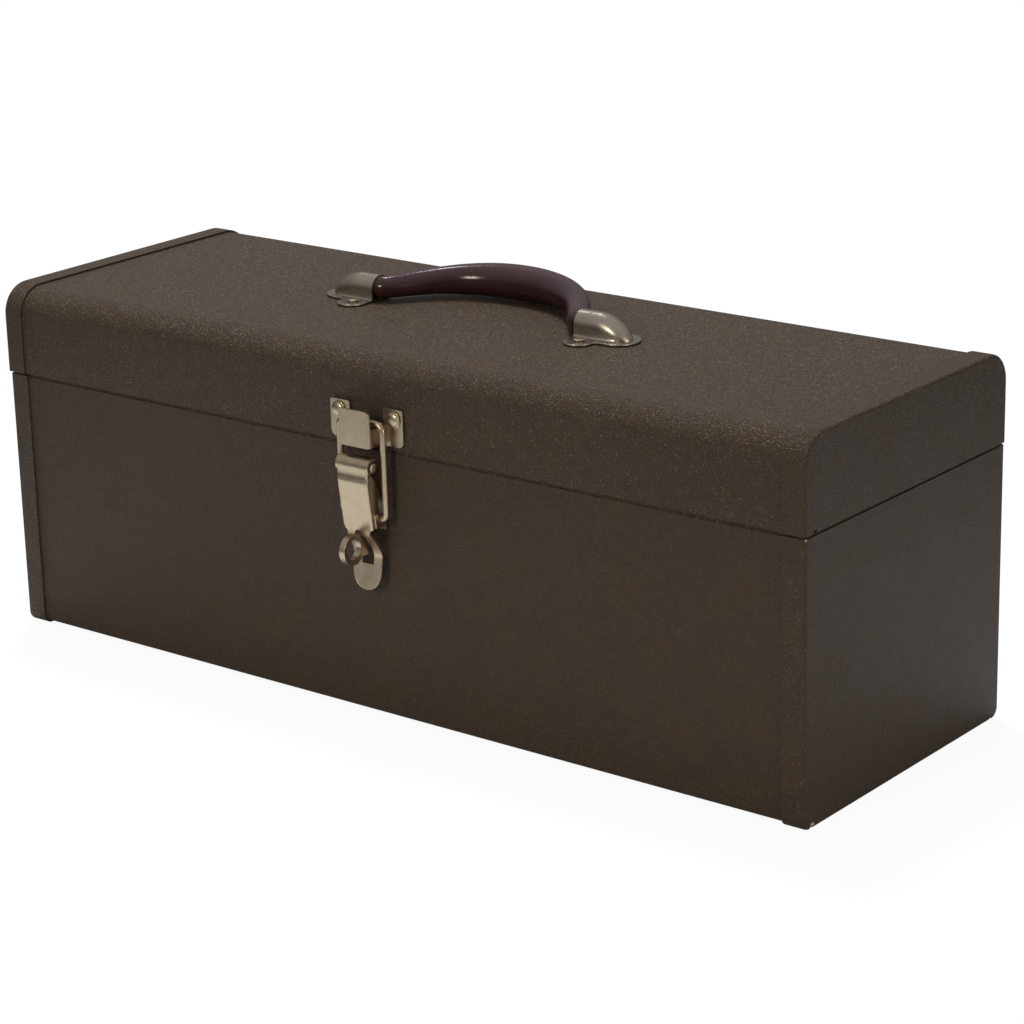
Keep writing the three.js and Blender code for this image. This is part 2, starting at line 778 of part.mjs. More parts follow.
function latchLever() {
  const outside = [...rollArc(rollRadius), ...tailPoints(0)];
  const inside = [...rollArc(rollRadius - leverSheet), ...tailPoints(leverSheet)];
  const band = prismX(sideView([...outside, ...inside.reverse()]), -rollHalfWidth, rollHalfWidth);
  const front = -halfDepth - pivotOut - 2 * rollRadius;
  const tip = faceFoot.y - tailDrop;
  const side = [
    [tailHalfWidth, tip, tailHalfWidth * tailTipShare],
    [tailHalfWidth, faceFoot.y - shoulderDrop],
    [neckHalfWidth, faceFoot.y - neckDrop],
    [faceHalfWidth, faceFoot.y + neckDrop / 2],
    [faceHalfWidth, pivot.y - rollRadius],
    [rollHalfWidth, pivot.y - rollRadius / 2],
    [rollHalfWidth, pivot.y + rollRadius + overrun],
  ];
  const otherSide = side.map(([x, z, radius]) => [-x, z, radius]).reverse();
  const view = prismY(outline([...side, ...otherSide]), front, -halfDepth + sheet);
  const slotTop = faceFoot.y - slotTopDrop;
  const slotPoints = [
    new THREE.Vector2(-slotHalfWidth, faceFoot.y - slotHeight),
    new THREE.Vector2(slotHalfWidth, faceFoot.y - slotHeight),
  ];
  for (let k = 0; k <= slotSteps; k += 1) {
    const angle = (Math.PI * k) / slotSteps;
    slotPoints.push(new THREE.Vector2(slotHalfWidth * Math.cos(angle),
      slotTop - slotArch + slotArch * Math.sin(angle)));
  }
  const slot = prismY(slotPoints, front, -halfDepth + sheet);
  return join([band.intersect(view).subtract(slot), ...leverSides()]).subtract(bailHole());
}

// The face's sides are folded back, and a boot below them reaches in to carry the bail.
function leverSides() {
  const faceLength = faceDrop - rollRadius;
  const onFace = (up, depth) => faceFoot.clone().addScaledVector(faceUp, up).addScaledVector(faceIn, depth);
  const side = sideView([
    onFace(0, leverSheet / 2),
    onFace(faceLength, leverSheet / 2),
    onFace(faceLength, sideTopDepth / 2),
    onFace(faceLength - sideTopDepth / 2, sideTopDepth),
    onFace(bootHeight, sideFootDepth),
    onFace(0, sideFootDepth),
  ]);
  const bootIn = pivot.x - bootDepth;
  const boot = sideView(outline([
    [onFace(leverSheet, leverSheet / 2).x, faceFoot.y + leverSheet],
    [onFace(bootHeight, leverSheet / 2).x, faceFoot.y + bootHeight],
    [bootIn + bootHeight / 4, faceFoot.y + bootHeight, bootHeight / 4],
    [bootIn, faceFoot.y + bootHeight / 2, bootHeight / 4],
    [bootIn, faceFoot.y + leverSheet, bootHeight / 8],
  ]));
  return [-1, 1].flatMap((way) => {
    const span = (from, to) => [way * from, way * to].sort((a, b) => a - b);
    const flange = span(faceHalfWidth - leverSheet, faceHalfWidth);
    const step = span(faceHalfWidth - leverSheet + bootStep, faceHalfWidth + bootStep);
    return [prismX(side, ...flange), prismX(boot, ...step)];
  });
}

function bailHole() {
  const axis = sideView([bailPivot])[0];
  const half = faceHalfWidth + bootStep + overrun;
  return prismX(circle(bailWireRadius + seat, axis.x, axis.y, 16), -half, half);
}

// The bail: a wire bent to a U, hooked into the lever at its ends.
function latchBail() {
  const rise = crossbar.clone().sub(bailPivot);
  const height = rise.length();
  const tipX = faceHalfWidth - leverSheet - seat;
  const corners = outline([
    [tipX, 0],
    [bailHalfWidth, 0, bailBendRadius],
    [bailHalfWidth, height, bailTopBendRadius],
    [-bailHalfWidth, height, bailTopBendRadius],
    [-bailHalfWidth, 0, bailBendRadius],
    [-tipX, 0],
  ], false);
  const rings = corners.map((here, i) => {
    const last = corners[Math.max(i - 1, 0)];
    const next = corners[Math.min(i + 1, corners.length - 1)];
    const heading = next.clone().sub(last).normalize();
    const ring = [];
    for (let k = 0; k < 12; k += 1) {
      const angle = (2 * Math.PI * k) / 12;
      const side = bailWireRadius * Math.cos(angle);
      ring.push(new THREE.Vector3(here.x - heading.y * side, bailWireRadius * Math.sin(angle),
        here.y + heading.x * side));
    }
    return ring;
  });
  const leanOut = Math.atan2(rise.x, rise.y);
  const axis = sideView([bailPivot])[0];
  return loft(rings).rotateX(leanOut).translate(0, axis.x, axis.y);
}

// The rivets: a head, a shank through the pieces that it holds and a clinched tail.

function rivet(headRadius, headHeight, grip) {
  const low = -grip - seat;
  const head = domeRadiusShares.map((share, i) => (
    [headRadius * share, seat + headHeight * domeHeightShares[i]]));
  return turned([
    [0, low - rivetTailHeight],
    [rivetTailRadius * rivetTailFlatShare, low - rivetTailHeight],
    [rivetTailRadius, low - rivetTailHeight / 2],
    [rivetTailRadius, low],
    [rivetShankRadius, low],
    [rivetShankRadius, seat],
    ...head,
  ]);
}

// The tray

const trayHalfLength = halfLength - sheet - seat - sheet - trayEndGap;
const trayHalfDepth = bodyBack - sheet - traySideGap;
const trayTop = bodyTop - trayTopGap;
const trayFloor = trayTop - trayHeight;
const restHeight = trayFloor - seat;

function trayEdge(inset) {
  const corner = Math.max(trayBendRadius - inset, sheet);
  return [
    [-trayHalfDepth + inset, trayTop],
    [-trayHalfDepth + inset, trayFloor + inset, corner],
    [trayHalfDepth - inset, trayFloor + inset, corner],
    [trayHalfDepth - inset, trayTop],
  ];
}

function trayPan() {
  return strip(trayEdge, sheet, -trayHalfLength, trayHalfLength);
}

// The tray's end stands inside the pan, with its flange turned in.
function trayEnd() {
  return pan((inset) => trayEdge(inset + skinInset), trayHalfLength, trayFlange, sheet);
}

// A lengthwise divider that rises to a hand hole at the middle.
function trayDivider() {
  const half = trayHalfLength - trayFlange - seat;
  const low = trayFloor + skinInset;
  const top = low + dividerHeight;
  const shoulder = trayTop;
  const panel = prismY(outline([
    [-half, low],
    [half, low],
    [half, shoulder, dividerCorner],
    [dividerShoulderHalfWidth, shoulder, dividerCorner],
    [dividerCrownHalfWidth, top, dividerCorner],
    [-dividerCrownHalfWidth, top, dividerCorner],
    [-dividerShoulderHalfWidth, shoulder, dividerCorner],
    [-half, shoulder, dividerCorner],
  ]), -sheet / 2, sheet / 2);
  const holeTop = top - handHoleEdge;
  const hole = prismY(outline([
    [-handHoleHalfWidth, holeTop - handHoleHeight, handHoleCorner],
    [handHoleHalfWidth, holeTop - handHoleHeight, handHoleCorner],
    [handHoleHalfWidth, holeTop, handHoleCorner],
    [-handHoleHalfWidth, holeTop, handHoleCorner],
  ]), -sheet, sheet);
  const foot = block([-half, -sheet / 2, low], [half, dividerFoot, low + sheet]);
  return panel.add(foot).subtract(hole);
}

// The assembly

function mesh(name, shape, finish) {
  const geometry = shape.isBufferGeometry ? shape : toGeometry(shape);
  const piece = new THREE.Mesh(geometry, new THREE.MeshStandardMaterial(finish));
  piece.name = name;
  return piece;
}

function pair(name, shape, finish) {
  const right = shape.isBufferGeometry ? shape : toGeometry(shape);
  return [mesh(`${name}_right`, right, finish), mesh(`${name}_left`, mirrored(right), finish)];
}

const body = new THREE.Group();
body.add(mesh('body_shell', bodyShell(), brownPaint));
body.add(...pair('body_end', bodyEnd(), brownPaint));
body.add(...pair('tray_rest', trayRest(), brownPaint));
body.add(mesh('hinge_leaf_body', hingeLeaf(-1), brownPaint));
body.add(mesh('hinge_pin', hingePin(), nickel));
body.add(mesh('latch_base', latchBase(), nickel));
body.add(mesh('latch_pin', latchPin(), nickel));
body.add(mesh('padlock_eye', padlockEye(), nickel));
baseRivets.forEach(([name, z]) => {
  const grip = baseSheet + seat + sheet;
  const piece = mesh(name, rivet(bracketRivetHeadRadius, bracketRivetHeadHeight, grip), nickel);
  piece.rotation.x = Math.PI / 2;
  piece.position.set(0, bodyFace - seat - baseSheet, z);
  body.add(piece);
});

const lid = new THREE.Group();
lid.add(mesh('lid_shell', lidShell(), brownPaint));
lid.add(...pair('lid_end', lidEnd(), brownPaint));
lid.add(mesh('hinge_leaf_lid', hingeLeaf(1), brownPaint));
lid.add(mesh('keeper', keeper(), nickel));
[['right', 1], ['left', -1]].forEach(([name, side]) => {
  const grip = keeperSheet + seat + sheet;
  const piece = mesh(`keeper_rivet_${name}`, rivet(keeperRivetHeadRadius, keeperRivetHeadHeight, grip), nickel);
  piece.rotation.x = Math.PI / 2;
  piece.position.set(side * keeperRivetOut, lidFace - seat - keeperSheet, seamHeight + keeperRivetRise);
  lid.add(piece);
});
lid.add(...pair('handle_bracket', bracket(), nickel));
bracketRivets.forEach(([name, x, y]) => {
  const grip = bracketSheet + seat + sheet;
  const piece = mesh(name, rivet(bracketRivetHeadRadius, bracketRivetHeadHeight, grip), nickel);
  piece.position.set(x, y, lidTop + seat + bracketSheet);
  lid.add(piece);
});

// The handle lies back on the lid.
const handle = new THREE.Group();
handle.add(mesh('handle_grip', handleGrip(), maroonPlastic));
handle.add(mesh('handle_wire', handleWire(), nickel));
handle.position.set(0, 0, handlePivotZ);
handle.rotation.x = restLean;

const latch = new THREE.Group();
latch.add(mesh('latch_lever', latchLever(), nickel));
latch.add(mesh('latch_bail', latchBail(), nickel));

const tray = new THREE.Group();
tray.add(mesh('tray_pan', trayPan(), trayPaint));
tray.add(...pair('tray_end', trayEnd(), trayPaint));
tray.add(mesh('tray_divider', trayDivider(), trayPaint));

// The origin is on the ground, in the middle of everything that stands out at the front and the back.
const toolBox = new THREE.Group();
toolBox.add(body, lid, handle, latch, tray);
toolBox.position.y = (frontReach - backReach) / 2;

export default toolBox;
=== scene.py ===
import math

import bmesh
import bpy
from mathutils import Matrix, Vector


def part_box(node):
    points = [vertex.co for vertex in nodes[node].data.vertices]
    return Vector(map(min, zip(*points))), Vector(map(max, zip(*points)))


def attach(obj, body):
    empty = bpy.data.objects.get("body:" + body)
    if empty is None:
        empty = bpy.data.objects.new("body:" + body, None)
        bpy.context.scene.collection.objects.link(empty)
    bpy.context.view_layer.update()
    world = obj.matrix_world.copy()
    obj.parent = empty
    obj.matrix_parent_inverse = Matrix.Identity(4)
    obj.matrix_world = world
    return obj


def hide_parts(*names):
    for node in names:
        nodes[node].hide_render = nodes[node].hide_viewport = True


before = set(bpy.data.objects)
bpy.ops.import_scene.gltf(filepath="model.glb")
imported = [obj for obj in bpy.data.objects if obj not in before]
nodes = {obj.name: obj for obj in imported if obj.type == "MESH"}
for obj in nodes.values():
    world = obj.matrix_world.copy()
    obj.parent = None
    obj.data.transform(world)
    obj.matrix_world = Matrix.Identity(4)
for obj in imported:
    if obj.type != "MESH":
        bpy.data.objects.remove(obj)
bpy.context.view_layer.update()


# The camera
# A long lens looks down on the front right corner from about one and a half metres away.
# Its place, its slight roll and its lens follow the box's edges in the photograph.

camera_place = Vector((0.93282, -1.14257, 0.56300))
camera_aim = Vector((-0.59163, 0.74447, -0.30941)).normalized()
camera_roll = math.radians(-1.4504)

camera_data = bpy.data.cameras.new("camera")
camera_data.sensor_width = 36
camera_data.lens = 110.72
camera_data.clip_start = 0.05
camera_data.clip_end = 50
camera = bpy.data.objects.new("camera", camera_data)
bpy.context.scene.collection.objects.link(camera)
level = camera_aim.cross(Vector((0, 0, 1))).normalized()
rightward = math.cos(camera_roll) * level + math.sin(camera_roll) * level.cross(camera_aim)
upward = rightward.cross(camera_aim)
facing = Matrix((rightward, upward, -camera_aim)).transposed().to_4x4()
camera.matrix_world = Matrix.Translation(camera_place) @ facing
bpy.context.scene.camera = camera
bpy.context.scene.view_settings.view_transform = "Standard"


# The studio
# A white floor and surround, with soft lamps overhead, at the front and at the right. Glossy faces mirror a
# small window instead of the overhead lamp. The camera sees plain white all round, the metal sees it dimly,
# and the floor keeps the box's faint shadow.

class Wire:
    """A value in a node tree. Arithmetic on it adds Math nodes, and node() adds any other kind."""

    def __init__(self, tree, socket=None):
        self.tree = tree
        self.socket = socket

    def node(self, kind, sockets=None, out=0, stops=None, **settings):
        made = self.tree.nodes.new(kind)
        for name, value in settings.items():
            setattr(made, name, value)
        if stops:
            ramp = made.color_ramp.elements
            while len(ramp) < len(stops):
                ramp.new(0.5)
            for element, (place, colour) in zip(ramp, stops):
                element.position = place
                element.color = (*colour, 1)
        for key, value in (sockets or {}).items():
            if isinstance(value, Wire):
                self.tree.links.new(value.socket, made.inputs[key])
            else:
                made.inputs[key].default_value = value
        return Wire(self.tree, made.outputs[out] if made.outputs else None)

    def maths(self, operation, first, second):
        return self.node("ShaderNodeMath", {0: first, 1: second}, operation=operation)

    def __add__(self, other):
        return self.maths("ADD", self, other)

    def __radd__(self, other):
        return self.maths("ADD", other, self)

    def __rsub__(self, other):
        return self.maths("SUBTRACT", other, self)

    def __mul__(self, other):
        return self.maths("MULTIPLY", self, other)

    def __rmul__(self, other):
        return self.maths("MULTIPLY", other, self)


def spread(value, low, high, to_low=0.0, to_high=1.0):
    """Stretches a value's range from low..high to to_low..to_high, and holds it there."""
    return value.node("ShaderNodeMapRange", {
        "Value": value, "From Min": low, "From Max": high, "To Min": to_low, "To Max": to_high})


def new_finish(name):
    """A new material, and the wire that draws in its empty node tree."""
    material = bpy.data.materials.new(name)
    material.use_nodes = True
    material.node_tree.nodes.clear()
    return material, Wire(material.node_tree)


white = (1, 1, 1, 1)
surround = bpy.data.worlds.new("surround")
bpy.context.scene.world = surround
surround.use_nodes = True
surround.node_tree.nodes.clear()
draw = Wire(surround.node_tree)
by_camera = draw.node("ShaderNodeLightPath", out="Is Camera Ray")
in_metal = draw.node("ShaderNodeLightPath", out="Is Glossy Ray")
height = draw.node("ShaderNodeSeparateXYZ", {0: draw.node("ShaderNodeTexCoord", out="Generated")}, out="Z")
sky = spread(height, 0.0, 0.9, 0.05, 0.55)
strength = by_camera + (1 - by_camera) * (sky + 0.08 * in_metal)
draw.node("ShaderNodeOutputWorld", {
    "Surface": draw.node("ShaderNodeBackground", {"Color": white, "Strength": strength})})

floor_reach = 6.0
floor_corners = [(x * floor_reach, y * floor_reach, 0) for x, y in ((-1, -1), (1, -1), (1, 1), (-1, 1))]
floor_mesh = bpy.data.meshes.new("floor")
floor_mesh.from_pydata(floor_corners, [], [(0, 1, 2, 3)])
floor = bpy.data.objects.new("floor", floor_mesh)
bpy.context.scene.collection.objects.link(floor)
white_floor, draw = new_finish("white floor")
by_camera = draw.node("ShaderNodeLightPath", out="Is Camera Ray")
place = draw.node("ShaderNodeTexCoord", out="Object")
from_middle = draw.node("ShaderNodeVectorMath", {0: place}, out="Value", operation="LENGTH")
far = spread(from_middle, 0.36, 0.8)
shade = draw.node("ShaderNodeMix", {0: far, 6: (0.8, 0.8, 0.8, 1), 7: (0.12, 0.12, 0.12, 1)},
                  out=2, data_type="RGBA")
matt = draw.node("ShaderNodeBsdfDiffuse", {"Color": shade})
glow = draw.node("ShaderNodeEmission", {"Color": white, "Strength": 1.03})
draw.node("ShaderNodeOutputMaterial", {
    "Surface": draw.node("ShaderNodeMixShader", {0: by_camera * (0.9 + 0.1 * far), 1: matt, 2: glow})})
floor_mesh.materials.append(white_floor)


def lamp(name, place, aim, size, power, colour, mirrored=True):
    """A square soft lamp that points at a place on the box. Glossy surfaces may mirror it."""
    data = bpy.data.lights.new(name, "AREA")
    data.shape = "SQUARE"
    data.size = size
    data.energy = power
    data.color = colour
    light = bpy.data.objects.new(name, data)
    bpy.context.scene.collection.objects.link(light)
    light.visible_glossy = mirrored
    light.location = place
    light.rotation_euler = (Vector(aim) - Vector(place)).to_track_quat("-Z", "Y").to_euler()


box_middle = (0, 0, 0.1)
lamp("overhead lamp", (-0.5, 0.5, 2.0), box_middle, 0.5, 50, (0.85, 0.93, 1), mirrored=False)
lamp("window", (-0.9, 0.75, 1.7), (0, 0, 0.18), 0.16, 3, (0.9, 0.88, 1))
lamp("front lamp", (-0.05, -2.3, 1.15), box_middle, 0.5, 20, (1, 0.92, 0.79))
lamp("right lamp", (2.0, -0.4, 0.5), (0.2, 0, 0.08), 0.8, 8.8, (1, 0.89, 0.76))


# The wrinkle paint
# All the steel sheet has one baked brown paint, which dried into a fine hard grain.
# Pale specks painted into its colour stand in for glints, more on upward faces and most along the lid's
# rounded edge.

brown = (0.0455, 0.0308, 0.0206)
# the pale colour of the painted glints and the painted sheen specks
painted_glint_colour = (0.3, 0.265, 0.24, 1)
bare_metal = (0.5, 0.47, 0.42, 1)


def wrinkle_paint(name, colour, chips=()):
    """Brown paint with a fine grain and painted glints. Chips are places and sizes, in metres, where bare
    metal shows.
    """
    material, draw = new_finish(name)
    place = draw.node("ShaderNodeTexCoord", out="Object")
    grain = draw.node("ShaderNodeTexNoise", {"Vector": place, "Scale": 1700, "Detail": 1, "Roughness": 0.5})
    pebble = draw.node("ShaderNodeTexVoronoi", {"Vector": place, "Scale": 1300, "Randomness": 1})
    patch = draw.node("ShaderNodeTexNoise", {"Vector": place, "Scale": 45, "Detail": 5, "Roughness": 0.7})
    speck = draw.node("ShaderNodeTexNoise", {"Vector": place, "Scale": 1300, "Detail": 1, "Roughness": 0.4})
    warm = tuple(c * k for c, k in zip(colour, (1.07, 1.03, 0.98)))
    cool = tuple(c * k for c, k in zip(colour, (0.94, 0.98, 1.0)))
    tint = draw.node("ShaderNodeValToRGB", {0: patch}, stops=[(0.38, cool), (0.62, warm)])
    cloud = draw.node("ShaderNodeTexNoise", {"Vector": place, "Scale": 260, "Detail": 2, "Roughness": 0.6})
    fine = spread(grain, 0.3, 0.7, 0.9, 1.08) * spread(cloud, 0.35, 0.65, 0.93, 1.07)
    shade = draw.node("ShaderNodeVectorMath", {0: tint, "Scale": fine}, operation="SCALE")
    # painted glints: pale specks mixed evenly into the colour, standing in for light caught by the grain
    painted_glints = spread(speck, 0.69, 0.76)
    facing = draw.node("ShaderNodeTexCoord", out="Normal")
    upward_share = draw.node("ShaderNodeSeparateXYZ", {0: facing}, out="Z")
    # painted sheen: more pale specks on upward faces, and most on sloping bends such as the lid's rounded
    # edge
    edge = spread(upward_share, 0.05, 0.45) * spread(upward_share, 1, 0.8)
    painted_sheen_specks = spread(speck, 0.54, 0.64) * (0.03 + 0.06 * spread(upward_share, 0.4, 0.9) + 0.11 * edge)
    paint = draw.node("ShaderNodeMix", {0: painted_glints * 0.35 + painted_sheen_specks, 6: shade, 7: painted_glint_colour},
                      out=2, data_type="RGBA")
    rough = spread(patch, 0.3, 0.7, 0.4, 0.5)
    for spot, size in chips:
        away = draw.node("ShaderNodeVectorMath", {0: place, 1: spot}, out="Value", operation="DISTANCE")
        bare = spread(away + 0.0012 * grain, 1.25 * size, size)
        paint = draw.node("ShaderNodeMix", {0: bare, 6: paint, 7: bare_metal}, out=2, data_type="RGBA")
    bump = draw.node("ShaderNodeBump", {"Strength": 1.0, "Distance": 0.0006, "Height": grain + 0.4 * pebble})
    surface = draw.node("ShaderNodeBsdfPrincipled", {
        "Base Color": paint, "Roughness": rough, "Normal": bump, "Specular IOR Level": 0.15})
    draw.node("ShaderNodeOutputMaterial", {"Surface": surface})
    return material


brown_paint = wrinkle_paint("brown wrinkle paint", brown)


# The body's sheet
# One sheet of steel makes the front, bottom and back. Its front edge steps back at the top,
# and goes up behind the lid's front as a rim. It is spot welded inside the two ends.

mm = 0.001


def shares(count):
    """Even steps from 0 to 1."""
    return [k / count for k in range(count + 1)]


def rounded(corners, steps=10, closed=False):
    """Points through corners (a, b, radius), each turned on an arc of its radius."""
    points = []
    for i, (a, b, radius) in enumerate(corners):
        here = Vector((a, b))
        if radius <= 0 or (not closed and i in (0, len(corners) - 1)):
            points.append(here)
            continue
        back = (Vector(corners[i - 1][:2]) - here).normalized()
        ahead = (Vector(corners[(i + 1) % len(corners)][:2]) - here).normalized()
        half = back.angle(ahead) / 2
        centre = here + (back + ahead).normalized() * radius / math.sin(half)
        start = here + back * radius / math.tan(half) - centre
        turn = math.copysign(math.pi - 2 * half, back.x * start.y - back.y * start.x)
        points += [centre + Matrix.Rotation(turn * share, 2) @ start for share in shares(steps)]
    return points


def beside(path, distance):
    """The path that keeps a distance to the left of another."""
    points = []
    for i, here in enumerate(path):
        before = here - path[i - 1] if i else path[1] - here
        after = path[i + 1] - here if i + 1 < len(path) else before
        left_before = Vector((-before.y, before.x)).normalized()
        left_after = Vector((-after.y, after.x)).normalized()
        middle = (left_before + left_after).normalized()
        points.append(here + middle * distance / max(0.3, middle.dot(left_before)))
    return points


def stand(axis, a, b, along):
    """A point of a flat drawing, (y, z) along x, (x, z) along y or (x, y) along z."""
    return {"x": (along, a, b), "y": (a, along, b), "z": (a, b, along)}[axis]


def loft(rings):
    """Points and faces of a closed body over rings with the same number of points."""
    count = len(rings[0])
    points = [point for ring in rings for point in ring]
    faces = [tuple(range(count)), tuple(range(len(points) - count, len(points)))]
    for near in range(0, len(points) - count, count):
        for k in range(count):
            following = (k + 1) % count
            faces.append((near + k, near + following, near + count + following, near + count + k))
    return points, faces


def prism(outline, start, end, axis):
    """A flat drawing's closed outline, carried from start to end along an axis."""
    return loft([[stand(axis, a, b, along) for a, b in outline] for along in (start, end)])


def new_piece(name, finish, *parts):
    """A new object from parts, each its points in millimetres and its faces, all turned outwards."""
    mesh = bmesh.new()
    for points, faces in parts:
        corners = [mesh.verts.new(Vector(point) * mm) for point in points]
        for face in faces:
            mesh.faces.new([corners[k] for k in face])
    bmesh.ops.recalc_face_normals(mesh, faces=mesh.faces)
    data = bpy.data.meshes.new(name)
    mesh.to_mesh(data)
    mesh.free()
    data.materials.append(finish)
    piece = bpy.data.objects.new(name, data)
    bpy.context.scene.collection.objects.link(piece)
    return piece


def apply(piece):
    """Makes a piece's modifiers part of its mesh."""
    piece.data.shade_smooth()
    bpy.context.view_layer.update()
    made = bpy.data.meshes.new_from_object(piece.evaluated_get(bpy.context.evaluated_depsgraph_get()))
    piece.modifiers.clear()
    piece.data = made


def settle(piece, body, slot, *stands_for, sharp=0):
    """Finishes a piece, and lets it ride on its body in place of its CAD nodes.

    Folds of more than sharp degrees stay crisp.
    """
    apply(piece)
    if sharp:
        piece.data.set_sharp_from_angle(angle=math.radians(sharp))
    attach(piece, body)
    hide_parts(*stands_for)


def bent_sheet(path, thickness, start, end):
    """A sheet whose outer side follows a path of (y, z), with its thickness to the path's left."""
    return prism([*path, *reversed(beside(path, thickness))], start, end, "x")


sheet = 0.8
joint_gap = 0.3
lap = sheet + joint_gap
rim_step = 0.8
body_bend = 4
body_top = 135.3
low, high = (Vector(corner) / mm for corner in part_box("body_shell"))
body_path = rounded([
    (low.y + rim_step, high.z, 0), (low.y + rim_step, body_top, 0.5), (low.y, body_top - rim_step, 0.5),
    (low.y, low.z, body_bend), (high.y, low.z, body_bend), (high.y, body_top, 0)])
body_sheet = new_piece("body_sheet", brown_paint, bent_sheet(body_path, sheet, low.x, high.x))
settle(body_sheet, "box", "brown_paint", "body_shell", sharp=40)


# The body's ends
# Each end is a pressed pan of the same steel. Its flange laps over the sheet, it has two small notches
# at the bottom, and a rim above it goes up inside the lid. The paint is chipped at the right end's front.

flange_width = 12
flange_bend = 1.6
flange_lip = 0.25
past_bend = 0.3


def pressed_end(side, face, edge):
    """A flat panel whose flange runs back over an outline. edge(inset) gives the outline's corners."""
    flat = flange_bend + past_bend
    outer = rounded([(flange_width, 0, 0), (0, 0, flange_bend), (0, flat, 0)], 6)
    inner = rounded([(flange_width, sheet + flange_lip, 0), (sheet, sheet, flange_bend - sheet),
                     (sheet, flat, 0)], 4)
    points, faces, firsts = [], [], []
    for depth, inset in [*outer, *reversed(inner)]:
        ring = rounded(edge(inset))
        firsts.append(len(points))
        points += [(side * (face - depth), y, z) for y, z in ring]
    count = len(ring)
    panel = len(outer)
    for r, near in enumerate(firsts):
        far = firsts[(r + 1) % len(firsts)]
        if r != panel - 1:
            faces += [(near + k, near + k + 1, far + k + 1, far + k) for k in range(count - 1)]
    faces += [tuple(range(firsts[r], firsts[r] + count)) for r in (panel - 1, panel)]
    outside, inside = firsts[:panel], firsts[panel:]
    last = count - 1
    faces.append((*outside, *(first + last for first in reversed(outside)),
                  *(first + last for first in reversed(inside)), *inside))
    return points, faces


def cut_away(piece, finish, *parts):
    """Cuts parts out of a piece."""
    for part in parts:
        cutter = new_piece("cutter", finish, part)
        cut = piece.modifiers.new("cut", "BOOLEAN")
        cut.operation = "DIFFERENCE"
        cut.solver = "EXACT"
        cut.object = cutter
        apply(piece)
        bpy.data.objects.remove(cutter)


def block(low, high):
    """A straight-sided part between two corners."""
    outline = [(low[0], low[1]), (high[0], low[1]), (high[0], high[1]), (low[0], high[1])]
    return prism(outline, low[2], high[2], "z")


overrun = 1
notch_width = 3
notch_rise = 1.6
notch_inset = 6.5
rim_gap = 0.15
rim_tuck = 2
rim_short = 3


def notch(side, outside, place, foot):
    """A small square part that cuts an end's edge at a place along the box, up from the end's foot."""
    across = sorted((side * (outside - flange_bend), side * (outside + overrun)))
    return block((across[0], place - notch_width / 2, foot - overrun),
                 (across[1], place + notch_width / 2, foot + notch_rise))


low, high = (Vector(corner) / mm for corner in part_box("body_end_right"))


def body_edge(inset):
    """The body's end seen from the side, open at the top."""
    corner = body_bend + lap - inset
    return [(low.y + inset, body_top, 0), (low.y + inset, inset, corner),
            (high.y - inset, inset, corner), (high.y - inset, body_top, 0)]


chipped_paint = wrinkle_paint("chipped brown paint", brown, chips=[
    ((high.x * mm, (low.y + notch_inset) * mm, notch_rise * mm), 0.0019),
    ((high.x * mm, (low.y + 0.6) * mm, body_top * mm), 0.0012)])
rim_out = high.x - sheet - rim_gap
rim_half = (high.y - low.y) / 2 - rim_short
rim_foot = body_top - rim_tuck
middle = (low.y + high.y) / 2
for name, side, finish in (("right", 1, chipped_paint), ("left", -1, brown_paint)):
    rim = [(side * x, z) for x, z in (
        (rim_out, rim_foot), (rim_out, high.z), (rim_out - sheet, high.z), (rim_out - sheet, rim_foot))]
    end = new_piece(f"end_panel_{name}", finish, pressed_end(side, high.x, body_edge),
                    prism(rim, middle - rim_half, middle + rim_half, "y"))
    cut_away(end, finish, *(
        notch(side, high.x, place, 0) for place in (low.y + notch_inset, high.y - notch_inset)))
    settle(end, "box", "brown_paint", f"body_end_{name}", sharp=40)


# The lid
# Another bent sheet, well rounded at the front and back, with pressed ends that lap over it.
# It closes down over the rims of the body.

lid_bend = 14
low, high = (Vector(corner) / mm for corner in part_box("lid_shell"))
lid_path = rounded([
    (high.y, low.z, 0), (high.y, high.z, lid_bend), (low.y, high.z, lid_bend), (low.y, low.z, 0)], steps=24)
lid_sheet = new_piece("lid_sheet", brown_paint, bent_sheet(lid_path, sheet, low.x, high.x))
settle(lid_sheet, "lid", "brown_paint", "lid_shell", sharp=40)

low, high = (Vector(corner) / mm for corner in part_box("lid_end_right"))


def lid_edge(inset):
    """The lid's end seen from the side, open below."""
    corner = lid_bend + lap - inset
    return [(low.y + inset, low.z, 0), (low.y + inset, high.z - inset, corner),
            (high.y - inset, high.z - inset, corner), (high.y - inset, low.z, 0)]


for name, side in (("right", 1), ("left", -1)):
    end = new_piece(f"lid_panel_{name}", brown_paint, pressed_end(side, high.x, lid_edge))
    cut_away(end, brown_paint, notch(side, high.x, low.y + lap + notch_inset, low.z))
    settle(end, "lid", "brown_paint", f"lid_end_{name}", sharp=40)


# The hinge
# Two leaves of thin steel, painted with the box, are welded inside its back edge.
# Their ends are rolled into nineteen knuckles, which turn on one long pin.

copies = bpy.data.node_groups.new("row of copies", "GeometryNodeTree")
for label, kind, way in (
        ("Geometry", "Geometry", "INPUT"), ("Copy", "Object", "INPUT"), ("Count", "Int", "INPUT"),
        ("Start", "Vector", "INPUT"), ("Step", "Vector", "INPUT"), ("Finish", "Material", "INPUT"),
        ("Geometry", "Geometry", "OUTPUT")):
    copies.interface.new_socket(name=label, in_out=way, socket_type=f"NodeSocket{kind}")
draw = Wire(copies)


def given(label):
    """One of the row's inputs."""
    return draw.node("NodeGroupInput", out=label)


